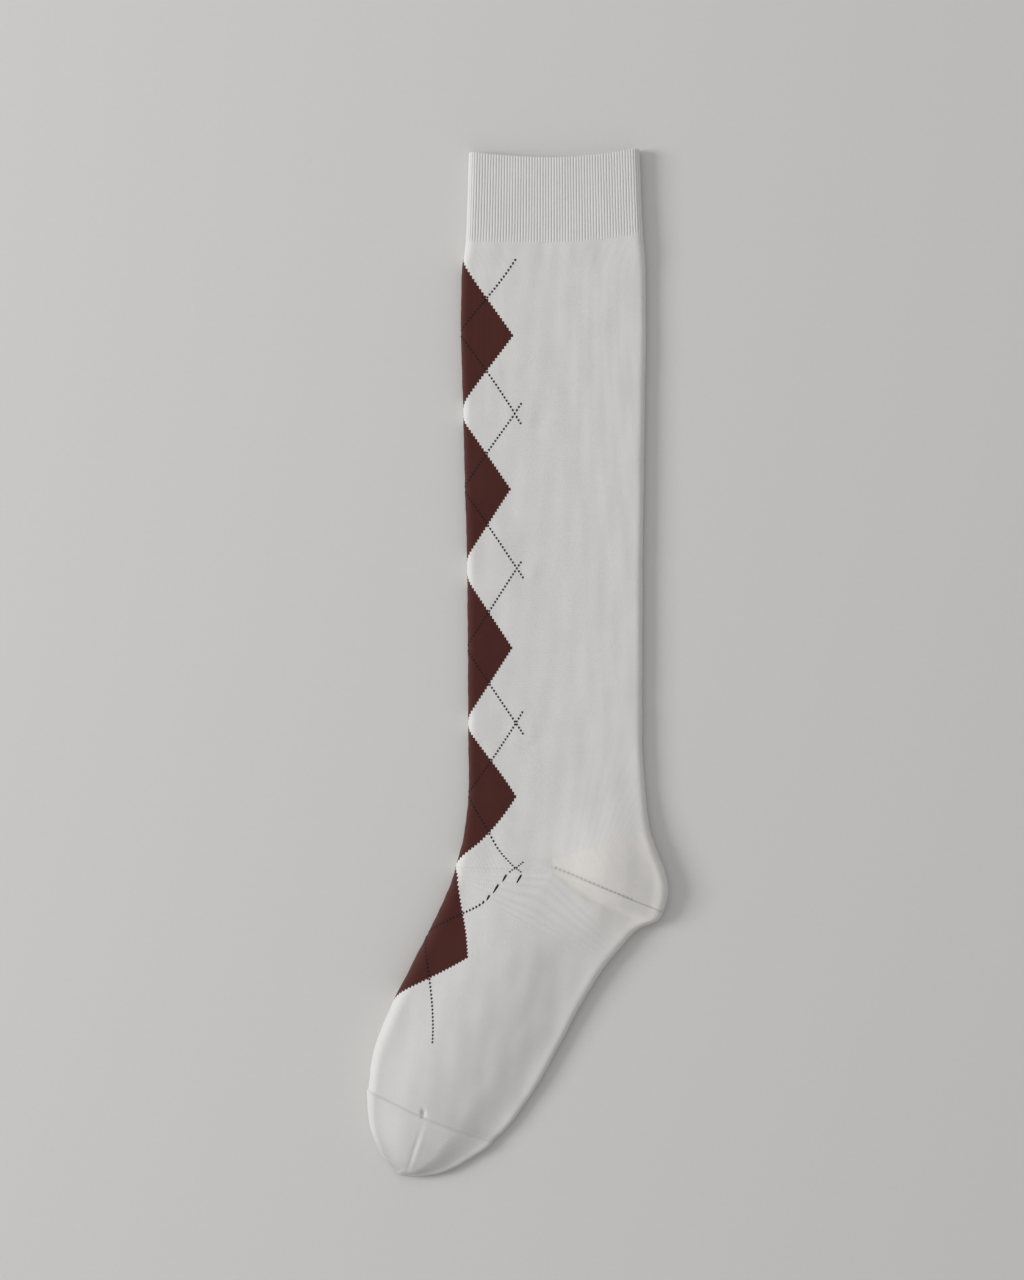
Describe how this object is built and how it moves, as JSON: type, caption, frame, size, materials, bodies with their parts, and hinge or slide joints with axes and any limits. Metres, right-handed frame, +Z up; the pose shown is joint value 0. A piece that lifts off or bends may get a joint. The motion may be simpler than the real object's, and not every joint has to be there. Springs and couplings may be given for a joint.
{
  "type": "argyle knee sock",
  "caption": "White knitted knee sock with a ribbed cuff and maroon argyle diamonds along its front, pressed flat and lying on its side.",
  "frame": {"origin": "centre of the sock's outline on the surface that it lies on", "axes": "+Z up out of the surface, +Y along the leg from the ankle towards the cuff, +X from the front of the leg towards the heel side"},
  "size_m": [0.16, 0.5438, 0.0158],
  "materials": {
    "white_rib_knit": "matte ribbed cotton knit",
    "white_knit": "matte plain cotton knit",
    "cream_heel_knit": "matte, thicker cotton knit",
    "maroon_knit": "matte inlaid cotton knit",
    "black_knit": "matte single stitches in cotton"
  },
  "bodies": {
    "root": {"cuff": "white_rib_knit", "leg": "white_knit", "heel": "cream_heel_knit", "foot": "white_knit", "toe_seam": "white_knit", "toe": "white_knit", "argyle_diamond_1": "maroon_knit", "argyle_diamond_2": "maroon_knit", "argyle_diamond_3": "maroon_knit", "argyle_diamond_4": "maroon_knit", "argyle_diamond_5": "maroon_knit"}
  },
  "joints": []
}
